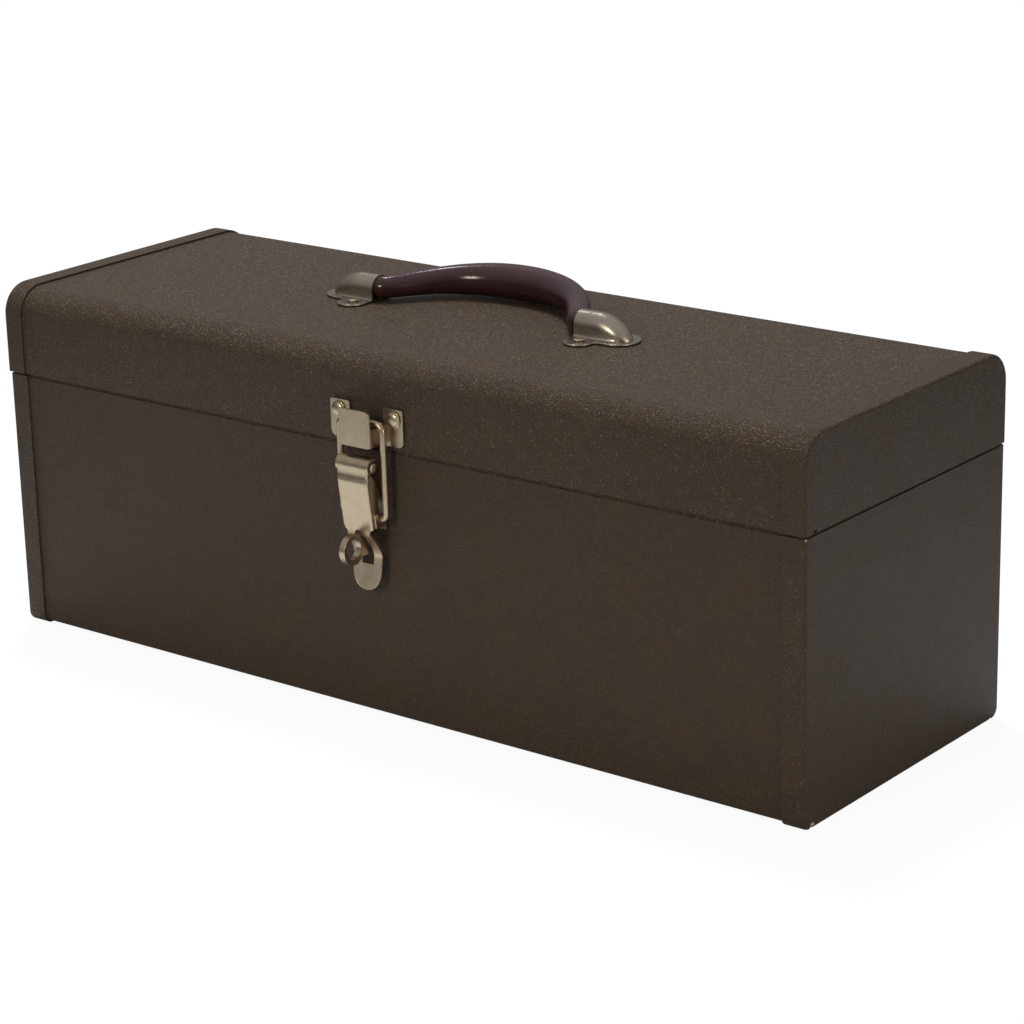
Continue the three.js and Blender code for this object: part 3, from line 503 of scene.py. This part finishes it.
places = draw.node("GeometryNodeMeshLine", {
    "Count": given("Count"), "Start Location": given("Start"), "Offset": given("Step")})
pattern = draw.node("GeometryNodeObjectInfo", {"Object": given("Copy")}, out="Geometry")
row = draw.node("GeometryNodeInstanceOnPoints", {"Points": places, "Instance": pattern})
whole = draw.node("GeometryNodeJoinGeometry", {0: row})
copies.links.new(given("Geometry").socket, whole.socket.node.inputs[0])
real = draw.node("GeometryNodeRealizeInstances", {0: whole})
finished = draw.node("GeometryNodeSetMaterial", {0: real, "Material": given("Finish")})
draw.node("NodeGroupOutput", {0: finished})


def add_row(piece, pattern, count, start, step, finish):
    """Adds a row of copies of a pattern to a piece, from a start in millimetres, and removes the pattern."""
    made = piece.modifiers.new("row", "NODES")
    made.node_group = copies
    values = {"Copy": pattern, "Count": count, "Start": tuple(Vector(start) * mm),
              "Step": tuple(Vector(step) * mm), "Finish": finish}
    for item in copies.interface.items_tree:
        if item.in_out == "INPUT" and item.name in values:
            made[item.identifier] = values[item.name]
    apply(piece)
    bpy.data.objects.remove(pattern)


knuckle_count = 19
knuckle_radius = 2.3
knuckle_bore = 1.3
knuckle_gap = 0.6
knuckle_turn = math.radians(325)
leaf_gap = 2.6
seam = 136
low, high = (Vector(corner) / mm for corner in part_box("hinge_leaf_body"))
lid_leaf_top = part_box("hinge_leaf_lid")[1][2] / mm
pitch = (high.x - low.x) / knuckle_count
pin_y = high.y - knuckle_radius


def knuckle(up):
    """One rolled knuckle: the leaf's edge runs up to the pin and most of the way round it."""
    outer = [(low.y, seam - up * leaf_gap)]
    inner = [(low.y + sheet, seam - up * leaf_gap)]
    for share in shares(24):
        angle = math.pi - up * knuckle_turn * share
        for path, radius in ((outer, knuckle_radius), (inner, knuckle_bore)):
            path.append((pin_y + radius * math.cos(angle), seam + radius * math.sin(angle)))
    half = (pitch - knuckle_gap) / 2
    piece = new_piece("knuckle", brown_paint, prism([*outer, *reversed(inner)], -half, half, "x"))
    piece.data.shade_smooth()
    piece.data.set_sharp_from_angle(angle=math.radians(40))
    return piece


for name, body, up, first, leaf_end in (
        ("hinge_leaf_body", "box", 1, 0, low.z), ("hinge_leaf_lid", "lid", -1, 1, lid_leaf_top)):
    near = seam - up * leaf_gap
    leaf = new_piece(f"{name}_rolled", brown_paint, block(
        (low.x, low.y, min(near, leaf_end)), (high.x, low.y + sheet, max(near, leaf_end))))
    add_row(leaf, knuckle(up), (knuckle_count + 1 - first) // 2,
            (low.x + (first + 0.5) * pitch, 0, 0), (2 * pitch, 0, 0), brown_paint)
    settle(leaf, body, "brown_paint", name, sharp=40)


# The nickel
# The latch, the handle's wire and brackets and the hinge's pin are steel with a warm nickel plate.
# The plate has a satin haze and a few fine brown stains. The brackets' plate is a greyer one.

stain_colour = (0.12, 0.09, 0.06, 1)


def nickel_plate(name, colour):
    """Nickel plate with a soft haze and a few fine stains."""
    material, draw = new_finish(name)
    place = draw.node("ShaderNodeTexCoord", out="Object")
    haze = draw.node("ShaderNodeTexNoise", {"Vector": place, "Scale": 160, "Detail": 5, "Roughness": 0.7})
    stain = draw.node("ShaderNodeTexNoise", {"Vector": place, "Scale": 260, "Detail": 3, "Roughness": 0.55})
    scuff = draw.node("ShaderNodeTexNoise", {"Vector": place, "Scale": 2600, "Detail": 2})
    deep = tuple(0.86 * c for c in colour)
    tint = draw.node("ShaderNodeValToRGB", {0: haze}, stops=[(0.35, deep), (0.65, colour)])
    mark = spread(stain, 0.6, 0.8) * 0.15
    plate = draw.node("ShaderNodeMix", {0: mark, 6: tint, 7: stain_colour}, out=2, data_type="RGBA")
    rough = spread(haze, 0.3, 0.7, 0.28, 0.36)
    bump = draw.node("ShaderNodeBump", {"Strength": 0.06, "Distance": 0.0001, "Height": scuff})
    surface = draw.node("ShaderNodeBsdfPrincipled", {
        "Base Color": plate, "Metallic": 1, "Roughness": rough, "Normal": bump})
    draw.node("ShaderNodeOutputMaterial", {"Surface": surface})
    return material


nickel = nickel_plate("warm nickel plate", (0.475, 0.379, 0.266))


def circle(sides):
    """The cosine and sine of each corner of a many-sided circle."""
    turns = [2 * math.pi * k / sides for k in range(sides)]
    return [(math.cos(turn), math.sin(turn)) for turn in turns]


def turned(profile, axis, centre, sides=32):
    """A round body on an axis, from (along, radius) pairs. Centre is the axis's place in the flat drawing."""
    a, b = centre
    ring = circle(sides)
    return loft([[stand(axis, a + radius * cosine, b + radius * sine, along) for cosine, sine in ring]
                 for along, radius in profile])


pin_radius = 1
pin_chamfer = 0.3
hinge_pin = new_piece("hinge_rod", nickel, turned([
    (low.x, pin_radius - pin_chamfer), (low.x + pin_chamfer, pin_radius),
    (high.x - pin_chamfer, pin_radius), (high.x, pin_radius - pin_chamfer)], "x", (pin_y, seam), 20))
settle(hinge_pin, "box", "nickel", "hinge_pin", sharp=50)


# The latch's base and the padlock eye
# A stamped plate is riveted to the front, and its arm ends in the knuckle that carries the lever's pin.
# The eye is a thick plate on edge, which stands out through the front under it.

def soften(piece, edge, segments=2):
    """Rounds a piece's edges, and keeps its flats flat."""
    bevel = piece.modifiers.new("edges", "BEVEL")
    bevel.width = edge * mm
    bevel.segments = segments
    bevel.limit_method = "ANGLE"
    bevel.angle_limit = math.radians(40)
    bevel.loop_slide = False
    flats = piece.modifiers.new("flats", "WEIGHTED_NORMAL")
    flats.keep_sharp = True


def dressed(node, name, finish):
    """A new piece with a CAD node's shape, its doubles merged and its flats made whole."""
    mesh = bmesh.new()
    mesh.from_mesh(nodes[node].data)
    bmesh.ops.remove_doubles(mesh, verts=mesh.verts, dist=0.01 * mm)
    bmesh.ops.dissolve_limit(mesh, angle_limit=math.radians(1), verts=mesh.verts, edges=mesh.edges)
    piece = new_piece(name, finish)
    mesh.to_mesh(piece.data)
    mesh.free()
    piece.data.materials.clear()
    piece.data.materials.append(finish)
    return piece


base = dressed("latch_base", "latch_base_plate", nickel)
soften(base, 0.3)
settle(base, "box", "nickel", "latch_base")

eye = dressed("padlock_eye", "padlock_ring", nickel)
soften(eye, 0.8, 4)
settle(eye, "box", "nickel", "padlock_eye")

pivot_y, pivot_z = -84.2, 129.8
pin_half = 10.6
pin_head = 2.3
pin_shaft = 1.7
head_seat = pin_half - 1.1
half_pin = [(0, pin_shaft), (head_seat, pin_shaft), (head_seat, pin_head), (pin_half - 0.6, pin_head),
            (pin_half - 0.2, 0.8 * pin_head), (pin_half, 0.45 * pin_head)]
latch_pin = new_piece("latch_rod", nickel, turned(
    [*((-along, radius) for along, radius in reversed(half_pin)), *half_pin[1:]], "x", (pivot_y, pivot_z)))
settle(latch_pin, "box", "nickel", "latch_pin", sharp=50)


# The latch's lever
# A stamped sheet, rolled round the pin at the top. Its face is bent back at both sides, and two boots behind
# it hold the bail. Below, a slotted tail swings in behind the padlock eye and ends in a round finger pad.

front_y = -75
lever_sheet = 0.9
roll_radius = 4.4
roll_half = 9.9
roll_end = math.radians(170)
roll_tuck = math.radians(32)
face_drop = 31.4
face_half = 9.3
lean = math.asin(roll_radius / face_drop)
flange_top = face_drop - roll_radius
side_depth = 6.5
foot_depth = 5.5
side_flare = 0.125
shallowest = 1.0
foot_corner = 1.0
side_bend = 1.6
crease_depth = 1.5
crease_below = 5
crease_length = 6
face_bulge = 1.6
pivot_out = front_y - pivot_y
foot_z = pivot_z - face_drop


def on_face(up, depth):
    """A (y, z) place that lies up the lever's face from its foot, and a depth behind the face."""
    out = pivot_out + face_bulge + up * math.sin(lean) - depth * math.cos(lean)
    return front_y - out, foot_z + up * math.cos(lean) + depth * math.sin(lean)


roll_outer, roll_inner = [], []
for share in shares(40):
    angle = roll_end - (roll_end + lean + roll_tuck) * share
    for path, radius in ((roll_outer, roll_radius), (roll_inner, roll_radius - lever_sheet)):
        path.append((pivot_y - radius * math.cos(angle), pivot_z + radius * math.sin(angle)))
roll = prism([*roll_outer, *reversed(roll_inner)], -roll_half, roll_half, "x")

rings = []
for up in [0, 0.06, 0.15, 0.3, 0.5, 0.75, 1, 3, 6, 8, 12, 18, 23.7, 24.5, 25.5, 26.5, 27, 27.4, 29, 31.1]:
    corner = max(0, foot_corner - up)
    half = face_half - foot_corner + math.sqrt(foot_corner ** 2 - corner ** 2)
    depth = min(side_depth, foot_depth + side_flare * up)
    if up > flange_top - side_depth / 2:
        depth = max(shallowest, side_depth - (up - flange_top + side_depth / 2))
    if up > flange_top:
        depth = shallowest
    bend = min(side_bend, 0.9 * depth)
    outer = rounded([(-half, depth, 0), (-half, 0, bend), (half, 0, bend), (half, depth, 0)], 8)
    ring = [*outer, *reversed(beside(outer, lever_sheet))]
    crease = crease_depth * max(0, min(1, (up - flange_top + crease_below) / crease_length)) ** 2
    rings.append([(x, *on_face(up, inwards + crease)) for x, inwards in ring])
stamping = new_piece("latch_lever_stamping", nickel, roll, loft(rings))
soften(stamping, 0.25)
settle(stamping, "lever", "nickel", "latch_lever")

tail_drop = 31.4
tail_setback = 5.4
tail_half = 8.6
neck_half = 6.6
neck_drop = 1.6
shoulder_drop = 8.4
neck_flare = 0.9
deepest = 0.46
pad_return = 0.5
pad_curve = 1.15


def tail_out(share):
    """How far the tail stands out: in behind the eye's ring, then out again to the finger pad."""
    if share < deepest:
        x = share / deepest
        return pivot_out + face_bulge * (1 - x) - tail_setback * x * x * (3 - 2 * x)
    return pivot_out - tail_setback * (1 - pad_return * ((share - deepest) / (1 - deepest)) ** pad_curve)


def tail_width(drop):
    """Half the tail's width, from the neck through the shoulders to the round tip."""
    if drop < neck_drop:
        return neck_half + (neck_drop - drop) * neck_flare
    if drop < shoulder_drop:
        return neck_half + (tail_half - neck_half) * (drop - neck_drop) / (shoulder_drop - neck_drop)
    past = max(0, drop - (tail_drop - tail_half))
    return math.sqrt(max(0.0004, tail_half ** 2 - past ** 2))


tail_path = []
for share in shares(64):
    drop = tail_drop * math.sin(math.pi / 2 * share)
    tail_path.append(Vector((front_y - tail_out(drop / tail_drop), foot_z - drop)))
rings = []
for (y, z), (back_y, back_z) in zip(tail_path, beside(tail_path, lever_sheet)):
    half = tail_width(foot_z - z)
    across = [half * (2 * share - 1) for share in shares(12)]
    rings.append([*((x, y, z) for x in across), *((x, back_y, back_z) for x in reversed(across))])
tail = new_piece("latch_lever_tail", nickel, loft(rings))
slot_half = 3.6
slot_arch = 8.5
slot_drop = 18.9
slot = [(-slot_half, foot_z - slot_drop), (slot_half, foot_z - slot_drop)]
for share in shares(16):
    angle = math.pi * share
    slot.append((slot_half * math.cos(angle), foot_z - 0.2 - slot_arch + slot_arch * math.sin(angle)))
cut_away(tail, nickel, prism(slot, front_y - 20, front_y, "y"))
soften(tail, 0.25)
settle(tail, "lever", "nickel", "latch_lever")

boot_step = 0.6
boot_front = 2.4
boot_height = 8
boot_reach = 8.4
boot_corner = 2
boot_in = front_y - pivot_out + boot_reach
boot_outer = face_half + boot_step
boot_inner = face_half - lever_sheet + boot_step
hole_half = 12
hole_radius = 1.9
bail_y, bail_z = front_y - 5, 103.7
boot_outline = rounded([
    (*on_face(1, boot_front), 0), (*on_face(boot_height, boot_front), 0),
    (boot_in - boot_corner, foot_z + boot_height, boot_corner),
    (boot_in, foot_z + boot_height / 2, boot_corner), (boot_in, foot_z + 1, 1)], 6, closed=True)
boots = new_piece("latch_lever_boots", nickel, *(
    prism(boot_outline, *sorted((side * boot_inner, side * boot_outer)), "x") for side in (-1, 1)))
wire_hole = [(-hole_half, hole_radius), (hole_half, hole_radius)]
cut_away(boots, nickel, turned(wire_hole, "x", (bail_y, bail_z)))
soften(boots, 0.25)
settle(boots, "lever", "nickel", "latch_lever")


# The latch's bail
# A bright wire bent to a U. Its ends hook into the lever's boots, and its crossbar draws the keeper down.

wire_radius = 1.6
bail_half = 13.2
bail_tip = 8.1
bail_bend = 3
bail_top_bend = 4.2
crossbar_y, crossbar_z = front_y - 5.7, 150.3


def wire(path, across, radii, sides=24):
    """A round wire along a flat path of 3-D points. Across is the direction square to the path's plane."""
    rings = []
    for i, here in enumerate(path):
        heading = (path[min(i + 1, len(path) - 1)] - path[max(i - 1, 0)]).normalized()
        aside = heading.cross(across)
        rings.append([here + radii[i] * (cosine * across + sine * aside) for cosine, sine in circle(sides)])
    return loft(rings)


rise = Vector((0, crossbar_y - bail_y, crossbar_z - bail_z))
plane = Vector((1, 0, 0)).cross(rise).normalized()
drawn = rounded([
    (bail_tip, 0, 0), (bail_half, 0, bail_bend), (bail_half, rise.length, bail_top_bend),
    (-bail_half, rise.length, bail_top_bend), (-bail_half, 0, bail_bend), (-bail_tip, 0, 0)], 12)
bail_path = [Vector((x, bail_y, bail_z)) + rise.normalized() * up for x, up in drawn]
bail = new_piece("latch_bail_wire", nickel, wire(bail_path, plane, [wire_radius] * len(bail_path)))
settle(bail, "bail", "nickel", "latch_bail", sharp=60)


# The latch's keeper
# Stamped from one sheet: two flat ears are riveted to the lid. The tongue between them stands forward on two
# walls, which are cut away at the top for the bail's crossbar.

keeper = dressed("keeper", "keeper_stamping", nickel)
soften(keeper, 0.35, 3)
settle(keeper, "lid", "nickel", "keeper")


# The rivets
# Plated steel rivets hold the latch's base, the keeper and the handle's brackets.
# Each has a domed head on a thin rim, and is clinched over inside.

rim_share = 0.87


def rivet(radius, height, grip, axis):
    """A rivet's turned shape: its head stands forward (y) or up (z) of its seat, and its tail is clinched."""
    way = -1 if axis == "y" else 1
    profile = [(-grip - 1, 1.6), (-grip - 0.7, 2.7), (-grip, 2.8), (-grip, 1.9), (0, 1.9), (0, 0.96 * radius),
               (0.12, radius), (0.35, radius), (0.45, 0.95 * radius), (0.5, rim_share * radius)]
    for share in shares(8)[1:]:
        angle = math.pi / 2 * share
        profile.append((0.5 + (height - 0.5) * math.sin(angle),
                        max(0.05, rim_share * radius * math.cos(angle))))
    piece = new_piece("rivet", nickel, turned([(way * along, r) for along, r in profile], axis, (0, 0)))
    piece.data.shade_smooth()
    piece.data.set_sharp_from_angle(angle=math.radians(55))
    return piece


for name, body, axis, radius, height, stands_for in (
        ("base_rivets", "box", "y", 2.9, 0.9, ("latch_base_rivet_lower", "latch_base_rivet_upper")),
        ("keeper_rivets", "lid", "y", 4.0, 1.8, ("keeper_rivet_left", "keeper_rivet_right")),
        ("left_bracket_rivets", "lid", "z", 2.9, 0.9,
         ("handle_bracket_rivet_left_front", "handle_bracket_rivet_left_back")),
        ("right_bracket_rivets", "lid", "z", 2.9, 0.9,
         ("handle_bracket_rivet_right_front", "handle_bracket_rivet_right_back"))):
    seats = []
    for node in stands_for:
        low, high = (Vector(corner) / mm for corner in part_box(node))
        centre = (low + high) / 2
        seats.append(Vector((centre.x, low.y + height, centre.z)) if axis == "y" else
                     Vector((centre.x, centre.y, high.z - height)))
    grip = (high.y - low.y if axis == "y" else high.z - low.z) - height - 1
    rivets = new_piece(name, nickel)
    add_row(rivets, rivet(radius, height, grip, axis), 2, seats[0], seats[1] - seats[0], nickel)
    settle(rivets, body, "nickel", *stands_for, sharp=55)


# The handle's brackets
# Each is pressed from thick sheet: a flat foot with three lobes, and a domed tunnel for the handle's end.

lid_top = 180.4
seat = 0.3
mouth = 62.5
bracket_sheet = 1
tunnel_half = 6.7
tunnel_height = 12.7
tunnel_straight = 11.5
tunnel_length = 29
tip_share = 0.9985
lid_middle = 9.5
base_z = lid_top + seat


def tunnel(side, inset):
    """The dome's rings, from its mouth to its closed end, each from one foot over the crown to the other."""
    rings = []
    domed = tunnel_length - inset - tunnel_straight
    straight = [tunnel_straight * share for share in shares(4)]
    curved = [tunnel_straight + domed * tip_share * math.sin(math.pi / 2 * share) for share in shares(23)[1:]]
    for along in straight + curved:
        share = max(0, (along - tunnel_straight) / domed)
        half = (tunnel_half - inset) * math.sqrt(1 - share ** 3)
        height = (tunnel_height - inset) * (1 - share ** 1.8) ** 0.65
        radius = min(half, height)
        feet = [(half, 0), (half, 0.1), (half, 0.2)]
        if inset:
            feet = [(half, -overrun), (half, -overrun / 2), (half, 0.2)]
        elif height - radius > 2.3:
            feet = [(half + 0.9, 0.6), (half + 0.27, 1.2), (half, 2.2)]
        spring = max(height - radius, 0.25)
        crown = [(half * math.cos(math.pi * turn), spring + radius * math.sin(math.pi * turn))
                 for turn in shares(24)]
        ring = [*feet, *crown, *((-a, b) for a, b in reversed(feet))]
        rings.append([(side * (mouth + along), lid_middle + a, base_z + b) for a, b in ring])
    return rings


satin_nickel = nickel_plate("satin nickel plate", (0.38, 0.335, 0.275))
foot_lobe = 7.4
foot_outline = [
    (0, 20.5, foot_lobe), (15, 20.5, foot_lobe), (15, 10.6, 1.6), (32.1, 10.6, 10.5), (32.1, -10.6, 10.5),
    (15, -10.6, 1.6), (15, -20.5, foot_lobe), (0, -20.5, foot_lobe)]
for name, side in (("right", 1), ("left", -1)):
    outline = [(side * (mouth + a), lid_middle + b) for a, b in rounded(foot_outline, 12, closed=True)]
    foot = new_piece(f"bracket_foot_{name}", satin_nickel,
                     prism(outline, base_z, base_z + bracket_sheet, "z"))
    soften(foot, 0.3)
    settle(foot, "lid", "nickel", f"handle_bracket_{name}")
    dome = new_piece(f"bracket_dome_{name}", satin_nickel, loft(tunnel(side, 0)))
    inner = tunnel(side, bracket_sheet)
    inner[0] = [(x - side * overrun, y, z) for x, y, z in inner[0]]
    cut_away(dome, satin_nickel, loft(inner))
    settle(dome, "lid", "nickel", f"handle_bracket_{name}", sharp=45)


# The carrying handle
# A round steel wire turns in the two brackets, and a glossy maroon grip is moulded over it,
# thick at the crown and drawn in at both ends. The handle lies back on the lid.

pivot_height = 187.2
reach = 37.4
rod_radius = 4
grip_radius = 8.8
grip_end = 5.4
end_round = 1
mouth_pull = 9
crown_pull = 48
handle_lean = math.asin((grip_radius + seat - (pivot_height - lid_top)) / reach)


def handle_point(t):
    """A point of the handle's centre line, from the right bracket's mouth at 0 to the left one's at 1."""
    u = 2 * t if t < 0.5 else 2 - 2 * t
    x = mouth * (1 - u) ** 3 + 3 * (mouth - mouth_pull) * (1 - u) ** 2 * u + 3 * crown_pull * (1 - u) * u ** 2
    out = 3 * reach * (1 - u) * u ** 2 + reach * u ** 3
    return Vector((x if t < 0.5 else -x, lid_middle + out * math.cos(handle_lean),
                   pivot_height + out * math.sin(handle_lean)))


above = Vector((0, -math.sin(handle_lean), math.cos(handle_lean)))
rod_end = mouth + 14
rod_path = [Vector((rod_end, lid_middle, pivot_height)), *(handle_point(share) for share in shares(96)),
            Vector((-rod_end, lid_middle, pivot_height))]
rod = new_piece("handle_rod", nickel, wire(rod_path, above, [rod_radius] * len(rod_path)))
settle(rod, "handle", "nickel", "handle_wire", sharp=60)

maroon_grip, draw = new_finish("glossy maroon plastic")
place = draw.node("ShaderNodeTexCoord", out="Object")
cloud = draw.node("ShaderNodeTexNoise", {"Vector": place, "Scale": 60, "Detail": 4, "Roughness": 0.6})
ripple = draw.node("ShaderNodeTexNoise", {"Vector": place, "Scale": 110, "Detail": 2, "Roughness": 0.5})
rub = draw.node("ShaderNodeTexNoise", {"Vector": place, "Scale": 700, "Detail": 3, "Roughness": 0.6})
tint = draw.node("ShaderNodeValToRGB", {0: cloud}, stops=[
    (0.35, (0.024, 0.0095, 0.011)), (0.7, (0.038, 0.0135, 0.015))])
gloss = spread(rub, 0.45, 0.75, 0.17, 0.26)
bump = draw.node("ShaderNodeBump", {"Strength": 0.1, "Distance": 0.0004, "Height": ripple})
surface = draw.node("ShaderNodeBsdfPrincipled", {
    "Base Color": tint, "Roughness": gloss, "Normal": bump, "Specular IOR Level": 0.38})
draw.node("ShaderNodeOutputMaterial", {"Surface": surface})

grip_tuck = 5
grip_path = [handle_point(share) for share in shares(320)]
grip_radii = [grip_end + (grip_radius - grip_end) * (1 - (point.x / mouth) ** 2) ** 1.4
              for point in grip_path]
tips = [Vector((mouth + grip_tuck - back, lid_middle, pivot_height)) for back in (0, 0.02, 0.5, 1.2)]
mirrored_tips = [Vector((-tip.x, tip.y, tip.z)) for tip in reversed(tips)]
end_radii = [rod_radius + 0.2, grip_end - end_round, grip_end - 0.6, grip_end - 0.35]
grip = new_piece("handle_grip_moulding", maroon_grip, wire(
    [*tips, *grip_path, *mirrored_tips], above, [*end_radii, *grip_radii, *reversed(end_radii)], 48))
settle(grip, "handle", "maroon_grip", "handle_grip", sharp=50)


# The lift-out tray and its rests
# A long pan with two ends and a divider that rises to a hand hole. It sits on a ledge at each end of the box.
# Tray and rests have the box's paint, the tray's a shade lighter.

tray_bend = 2.5
tray_paint = wrinkle_paint("tray wrinkle paint", tuple(1.4 * c for c in brown))
low, high = (Vector(corner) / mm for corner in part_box("tray_pan"))
pan_path = rounded([
    (low.y, high.z, 0), (low.y, low.z, tray_bend), (high.y, low.z, tray_bend), (high.y, high.z, 0)], 8)
pan = new_piece("tray_sheet", tray_paint, bent_sheet(pan_path, sheet, low.x, high.x))
settle(pan, "tray", "tray_paint", "tray_pan", sharp=40)
for node in ("tray_end_right", "tray_end_left", "tray_divider"):
    piece = dressed(node, f"{node}_sheet", tray_paint)
    soften(piece, 0.15)
    settle(piece, "tray", "tray_paint", node)
for side in ("right", "left"):
    piece = dressed(f"tray_rest_{side}", f"tray_ledge_{side}", brown_paint)
    soften(piece, 0.2)
    settle(piece, "box", "brown_paint", f"tray_rest_{side}")
